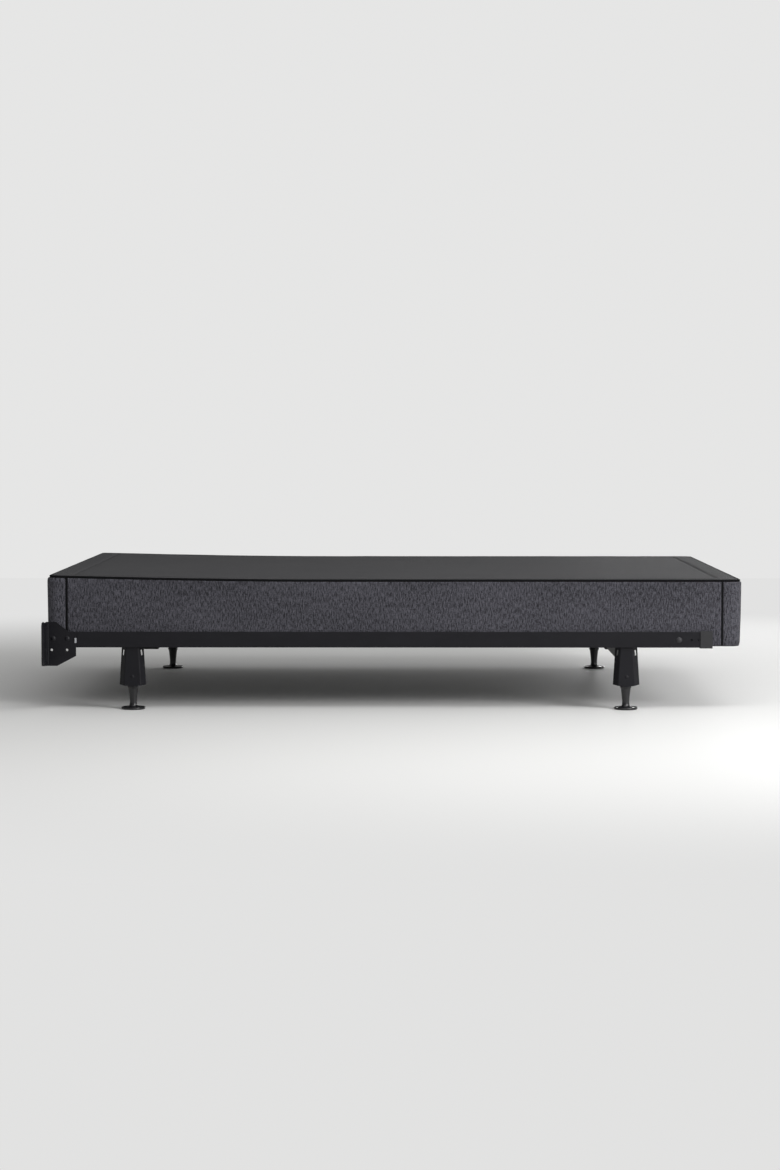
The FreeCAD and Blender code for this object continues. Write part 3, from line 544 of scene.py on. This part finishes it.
def cover():
    """The four panels, and the corner rolls between them, in order round the plan."""
    distance = 0.0
    for side, corner, straight in zip(SIDES, CORNERS, STRAIGHTS):
        first = distance + SEAM_FROM_ARC
        last = distance + straight - SEAM_FROM_ARC
        turn_end = distance + straight + ARC + SEAM_FROM_ARC
        panel = wrapped(side + "_panel", first + SEAM_GAP / 2, last - SEAM_GAP / 2, "cover_fabric",
                        side + "_cover", PANEL_PITCH, panel_shape,
                        HEAD_PANEL_EDGES if side == "head_end" else PANEL_EDGES)
        "side_wood_rails" if "side" in side else "end_wood_rails"
        roll = wrapped(corner + "_corner_roll", last + SEAM_GAP / 2, turn_end - SEAM_GAP / 2,
                       "corner_fabric", corner + "_corner_piece", ROLL_PITCH, corner_shape,
                       HEAD_ROLL_EDGES if "head" in corner else ROLL_EDGES)
        distance += straight + ARC


cover()


# ---------------------------------------------------------------- pipings of the foundation
TOP_PIPING_SIDES = 14
SEAM_PIPING_SIDES = 10
SEAM_PIPING_STEPS = 30


def closed_tube(path, radius, sides, bulge):
    """Vertices, faces and UVs of a tube along a closed path of points and their outward directions."""
    vertices = []
    uvs = []
    run = 0.0
    for number, (point, out) in enumerate(path):
        run += (point - path[number - 1][0]).length if number else 0
        for k in range(sides):
            angle = 2 * math.pi * k / sides
            reach = radius + bulge(run, angle)
            place = point + out * (reach * math.cos(angle)) + Vector((0, 0, reach * math.sin(angle)))
            vertices.append(tuple(place))
            uvs.append((run, radius * angle))
    faces = []
    for number in range(len(path)):
        a = number * sides
        b = (number + 1) % len(path) * sides
        for k in range(sides):
            k2 = (k + 1) % sides
            faces.append((a + k, b + k, b + k2, a + k2))
    return vertices, faces, uvs


def lap_distances(pitch, arc_pitch):
    """Distances once round the plan, closer together on the corners."""
    found = []
    start = 0.0
    for straight in STRAIGHTS:
        steps = round(straight / pitch)
        found += [start + straight * number / steps for number in range(steps)]
        steps = round(ARC / arc_pitch)
        found += [start + straight + ARC * number / steps for number in range(steps)]
        start += straight + ARC
    return found


def top_piping():
    """Piping round the top edge, drawn up a little at the head end."""
    radius = (WELT_TOP - WELT_BOTTOM) / 2
    middle = (WELT_TOP + WELT_BOTTOM) / 2
    path = []
    for s in lap_distances(8 * MM, 3 * MM):
        point, out = round_the_plan(s)
        tucked_in = 1.2 * MM
        tucked_in_at_head = 2.2 * MM * max(0, -out.x)
        point -= out * (radius + tucked_in + tucked_in_at_head - 0.35 * MM * wander(6, s * 9, 0))
        point.z = middle + head_rise(point.x) + 0.25 * MM * wander(7, s * 11, 0)
        path.append((point, out))

    def bulge(run, angle):
        return 0.12 * MM * wander(8, run * 160, angle)

    vertices, faces, uvs = closed_tube(path, radius, TOP_PIPING_SIDES, bulge)
    new_piece("top_edge_piping", vertices, faces, "welt_cord", "foundation", "top_welt", uvs)


def seam_cord(seam, first):
    """Vertices, faces and UVs of the flattened cord down one seam, numbered from first."""
    point, out = round_the_plan(seam)
    ahead = Vector((-out.y, out.x, 0))
    depth = SEAM_PIPING_RADIUS + 0.6 * MM
    low = COVER_BOTTOM + 1 * MM
    high = COVER_TOP + head_rise(point.x)
    vertices = []
    uvs = []
    for number in range(SEAM_PIPING_STEPS + 1):
        z = low + (high - low) * number / SEAM_PIPING_STEPS
        middle = point - out * (depth + 0.15 * MM * wander(9, seam * 5, z * 30))
        for k in range(SEAM_PIPING_SIDES):
            angle = 2 * math.pi * k / SEAM_PIPING_SIDES
            place = middle + ahead * (SEAM_PIPING_HALF_WIDTH * math.cos(angle))
            place += out * (SEAM_PIPING_RADIUS * math.sin(angle))
            vertices.append((place.x, place.y, z))
            uvs.append((z, SEAM_PIPING_RADIUS * angle))
    faces = []
    for number in range(SEAM_PIPING_STEPS):
        ring = first + number * SEAM_PIPING_SIDES
        for k in range(SEAM_PIPING_SIDES):
            a = ring + k
            b = ring + (k + 1) % SEAM_PIPING_SIDES
            faces.append((b, a, a + SEAM_PIPING_SIDES, b + SEAM_PIPING_SIDES))
    last_ring = first + SEAM_PIPING_STEPS * SEAM_PIPING_SIDES
    faces.append(tuple(first + k for k in range(SEAM_PIPING_SIDES)))
    faces.append(tuple(last_ring + k for k in reversed(range(SEAM_PIPING_SIDES))))
    return vertices, faces, uvs


def seam_piping():
    """A thin piping down each of the eight seams, in one piece."""
    vertices = []
    faces = []
    uvs = []
    start = 0.0
    for straight in STRAIGHTS:
        for seam in (start + SEAM_FROM_ARC, start + straight - SEAM_FROM_ARC):
            cord_vertices, cord_faces, cord_uvs = seam_cord(seam, len(vertices))
            vertices += cord_vertices
            faces += cord_faces
            uvs += cord_uvs
        start += straight + ARC
    new_piece("seam_piping", vertices, faces, "welt_cord", "foundation", "seam_welts", uvs)


top_piping()
seam_piping()


# ---------------------------------------------------------------- glides
# radius and height in millimetres along the moulding's outline, from the middle of its sole to the
# bottom of its bore
GLIDE_OUTLINE = (
    (0, 1.6), (22, 1.6), (24, 0), (29.5, 0), (31.6, 0.7), (32.6, 2.4), (32.9, 4.6), (32.4, 6.2),
    (31.2, 6.9), (30.0, 6.6), (29.2, 5.7), (27.6, 5.2), (20, 5.9), (14.6, 7.3), (11.8, 9.6),
    (10.5, 13), (10.0, 18), (9.9, 22), (10.6, 32), (11.8, 44), (13.0, 54), (13.6, 58), (14.6, 59.2),
    (15.6, 60.4), (15.9, 62.6), (15.6, 64.6), (14.7, 65.5), (12.5, 65.7), (7.2, 65.7), (6.2, 64.6),
    (6.0, 30), (0, 30))
GLIDE_SIDES = 64


def glide_moulding(foot):
    """A moulded glide: a dished foot with a rolled rim, a waisted cone and a collar round the stem."""
    low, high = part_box(foot + "_glide")
    middle = (low + high) / 2
    rings = GLIDE_OUTLINE[1:-1]
    vertices = [(middle.x, middle.y, low.z + GLIDE_OUTLINE[0][1] * MM)]
    for radius, height in rings:
        for k in range(GLIDE_SIDES):
            angle = 2 * math.pi * k / GLIDE_SIDES
            vertices.append((middle.x + radius * MM * math.cos(angle),
                             middle.y + radius * MM * math.sin(angle), low.z + height * MM))
    vertices.append((middle.x, middle.y, low.z + GLIDE_OUTLINE[-1][1] * MM))
    top_ring = 1 + (len(rings) - 1) * GLIDE_SIDES
    faces = []
    for k in range(GLIDE_SIDES):
        k2 = (k + 1) % GLIDE_SIDES
        faces.append((0, 1 + k2, 1 + k))
        for ring in range(len(rings) - 1):
            a = 1 + ring * GLIDE_SIDES
            faces.append((a + k, a + k2, a + GLIDE_SIDES + k2, a + GLIDE_SIDES + k))
        faces.append((top_ring + k, top_ring + k2, len(vertices) - 1))
    new_piece(foot + "_glide_moulding", vertices, faces, "glide_plastic", foot + "_foot",
              foot + "_glide")


for foot in ("front_head", "front_foot", "back_head", "back_foot"):
    glide_moulding(foot)


# ---------------------------------------------------------------- flat cloths of the foundation
PLAN_PITCH = 22 * MM           # between a flat cloth's rows and columns
BORDER = 62 * MM               # a line of stitches runs this far inside the top's edge
BORDER_STEPS = [step * MM for step in (-11, -7, -4, -2, 0, 2, 4, 7, 11)]
BORDER_DEPTH = 2.6 * MM
BORDER_SOFTNESS = 4.5 * MM
CLOTH_INSET = WELT_TOP - WELT_BOTTOM + 1.0 * MM
DUST_INSET = 7.5 * MM
DUST_SAG = 1.6 * MM


def with_border(places, border):
    """Distances with closer ones either side of the border at both ends."""
    length = places[-1]
    extra = [border + step for step in BORDER_STEPS]
    extra += [length - place for place in extra]
    kept = [place for place in places if min(abs(place - other) for other in extra) > 2 * MM]
    return sorted(kept + extra)


def plan_slab(name, inset, slot, node, top, bottom, soft_edge):
    """A thin slab of the rounded plan, pulled in by inset. top and bottom give heights at x, y."""
    x0 = HEAD_X + inset
    x1 = FOOT_X - inset
    y1 = SIDE_Y - inset
    radius = max(CORNER_RADIUS - inset, 4 * MM)
    columns = with_border(stations(x1 - x0, PLAN_PITCH), BORDER - inset)
    rows = with_border(stations(2 * y1, PLAN_PITCH), BORDER - inset)

    def flat(i, j):
        """Grid point with the corners drawn in to the round plan, and its distance from the edge."""
        x = x0 + columns[i]
        y = -y1 + rows[j]
        from_x = max(0, abs(x - (x0 + x1) / 2) - ((x1 - x0) / 2 - radius))
        from_y = max(0, abs(y) - (y1 - radius))
        if from_x > 0 and from_y > 0:
            longest = max(from_x, from_y)
            pulled_in = 1 - longest / math.hypot(from_x, from_y)
            x -= math.copysign(from_x * pulled_in, x - (x0 + x1) / 2)
            y -= math.copysign(from_y * pulled_in, y)
        return x, y, min(columns[i], x1 - x0 - columns[i], rows[j], 2 * y1 - rows[j])

    def outer(i, j):
        x, y, edge = flat(i, j)
        return (x, y, top(x, y) - soft_edge * roll_in(edge, 6 * MM))

    def inner(i, j):
        x, y = flat(i, j)[:2]
        return (x, y, bottom(x, y))

    vertices, faces = slab(columns, rows, outer, inner)
    uvs = [(vertex[0], vertex[1]) for vertex in vertices]
    return new_piece(name, vertices, faces, slot, "foundation", node, uvs)


def top_wave(x, y):
    """Slow unevenness of the padded top, and a shallow sewn line inside its edge."""
    waves = 0.8 * MM * wander(11, x * 5, y * 5) + 0.4 * MM * wander(12, x * 17, y * 13)
    edge = min(x - HEAD_X, FOOT_X - x, SIDE_Y - abs(y))
    sewn = BORDER_DEPTH * math.exp(-((edge - BORDER) / BORDER_SOFTNESS) ** 2)
    return head_rise(x) + waves * min(1, edge / (40 * MM)) - sewn


top_sheet = plan_slab(
    "non_slip_sheet", CLOTH_INSET, "top_cloth", "non_slip_top",
    lambda x, y: CLOTH_TOP - 0.4 * MM + top_wave(x, y),
    lambda x, y: CLOTH_BOTTOM + 0.1 * MM + top_wave(x, y), 0.5 * MM)

felt = plan_slab(
    "felt_layer", CLOTH_INSET + 0.4 * MM, "felt_pad", "top_pad",
    lambda x, y: CLOTH_BOTTOM - 0.2 * MM + top_wave(x, y),
    lambda x, y: PAD_BOTTOM + 0.05 * MM, 1.0 * MM)


def dust_sag(x, y):
    """The dust cloth hangs a little between the boards that it is stapled to."""
    edge = min(x - HEAD_X, FOOT_X - x, SIDE_Y - abs(y), abs(y) + 30 * MM) - 25 * MM
    hang = 1 - math.exp(-max(0, edge) / (120 * MM))
    ripple = 0.4 * MM * wander(13, x * 12, y * 9) * min(1, max(0, edge) / (60 * MM))
    return -DUST_SAG * hang + ripple


dust_sheet = plan_slab(
    "dust_sheet", DUST_INSET, "dust_cloth", "dust_cover",
    lambda x, y: DUST_TOP - 0.3 * MM + dust_sag(x, y),
    lambda x, y: DUST_BOTTOM + 0.1 * MM + dust_sag(x, y), 0.0)


# ---------------------------------------------------------------- stage, light and camera
WALL_LIGHT = 0.79
FAR_FLOOR_LIGHT = 0.76
FADE_START = 1.5               # the floor's paint begins to fade this far from the object's middle
FADE_END = 3.6
FLOOR_REACH = 30
WALL_Y = 5.9
CAMERA_PLACE = (0.036, -8.26, 0.777)
CAMERA_LENS = 85.81            # millimetres
CAMERA_DOWN = 3.28             # degrees below the horizon
CAMERA_LEFT = 0.35             # degrees


def studio_paint():
    """Pale matt paint near the object, which fades into an evenly lit floor far from it."""
    s = Shader("studio_floor_paint")
    cloud = s.noise(s.place((1.7, 1.7, 1.7)), 3.0)
    fine = s.noise(s.place((6 * MM, 6 * MM, 6 * MM)), 2.0)
    shade = s.blend(s.maths("MULTIPLY", cloud, 0.3), (0.82, 0.82, 0.81), (0.78, 0.78, 0.77))
    paint = s.finish(shade, 0.6, s.bump(fine, 0.05 * MM), Specular_IOR_Level=0.2)
    reach = s.add("VectorMath")
    reach.operation = "LENGTH"
    s.put(reach.inputs[0], s.place((1, 1, 1)))
    far = s.add("Emission", Color=(1, 1, 0.995, 1), Strength=FAR_FLOOR_LIGHT)
    mix = s.add("MixShader")
    fade = s.add("MapRange", Value=reach.outputs["Value"], From_Min=FADE_START, From_Max=FADE_END)
    fade.interpolation_type = "SMOOTHSTEP"
    s.put(mix.inputs[0], fade.outputs["Result"])
    s.put(mix.inputs[1], s.surface.outputs[0])
    s.put(mix.inputs[2], far.outputs[0])
    s.put(s.nodes["Material Output"].inputs["Surface"], mix.outputs[0])
    return paint


def studio_floor():
    """A pale floor that ends where the backdrop's wall begins."""
    corners = [(-FLOOR_REACH, -FLOOR_REACH, 0), (FLOOR_REACH, -FLOOR_REACH, 0),
               (FLOOR_REACH, WALL_Y, 0), (-FLOOR_REACH, WALL_Y, 0)]
    mesh = bpy.data.meshes.new("studio_floor")
    mesh.from_pydata(corners, [], [(0, 1, 2, 3)])
    mesh.materials.append(studio_paint())
    floor = bpy.data.objects.new("studio_floor", mesh)
    bpy.context.scene.collection.objects.link(floor)


def soft_light(name, place, target, width, height, power):
    """A white area light at a place, aimed at a target, in watts."""
    light = bpy.data.lights.new(name, "AREA")
    light.shape = "RECTANGLE"
    light.size = width
    light.size_y = height
    light.energy = power
    lamp = bpy.data.objects.new(name, light)
    lamp.location = place
    lamp.rotation_euler = (Vector(target) - Vector(place)).to_track_quat("-Z", "Y").to_euler()
    lamp.visible_camera = False
    bpy.context.scene.collection.objects.link(lamp)


def studio_world(seen, dim, bright, towards):
    """A backdrop that the camera sees evenly lit, while its light on the object grows from dim to
    bright towards one direction."""
    world = bpy.data.worlds.new("studio_world")
    world.use_nodes = True
    nodes = world.node_tree.nodes
    links = world.node_tree.links
    background = nodes["Background"]
    background.inputs["Color"].default_value = (1.0, 1.0, 0.995, 1)
    side = nodes.new("ShaderNodeVectorMath")
    side.operation = "DOT_PRODUCT"
    links.new(nodes.new("ShaderNodeTexCoord").outputs["Generated"], side.inputs[0])
    side.inputs[1].default_value = Vector(towards).normalized()
    lit = nodes.new("ShaderNodeMapRange")
    links.new(side.outputs["Value"], lit.inputs["Value"])
    for name, number in (("From Min", -0.6), ("From Max", 1.0), ("To Min", dim), ("To Max", bright)):
        lit.inputs[name].default_value = number
    choose = nodes.new("ShaderNodeMapRange")
    choose.inputs["To Max"].default_value = seen
    links.new(nodes.new("ShaderNodeLightPath").outputs["Is Camera Ray"], choose.inputs["Value"])
    links.new(lit.outputs["Result"], choose.inputs["To Min"])
    links.new(choose.outputs["Result"], background.inputs["Strength"])
    bpy.context.scene.world = world


def studio_camera():
    """A long lens low in front of the object, tilted down and turned left a little."""
    data = bpy.data.cameras.new("camera")
    data.lens = CAMERA_LENS
    camera = bpy.data.objects.new("camera", data)
    camera.location = CAMERA_PLACE
    camera.rotation_euler = (math.radians(90 - CAMERA_DOWN), 0, math.radians(CAMERA_LEFT))
    bpy.context.scene.collection.objects.link(camera)
    bpy.context.scene.camera = camera


studio_floor()
soft_light("key", (3.6, -3.9, 2.0), (0.1, -0.6, 0.15), 2.2, 1.6, 195)
soft_light("overhead", (0.7, -2.2, 2.6), (0.3, -0.7, 0.0), 3.0, 1.0, 34)
soft_light("back", (2.2, 4.3, 0.6), (0.2, 0.6, 0.25), 3.0, 0.7, 60)
studio_world(WALL_LIGHT, 0.14, 0.58, (0.85, -0.38, 0.45))
studio_camera()
bpy.context.scene.view_settings.view_transform = "Standard"
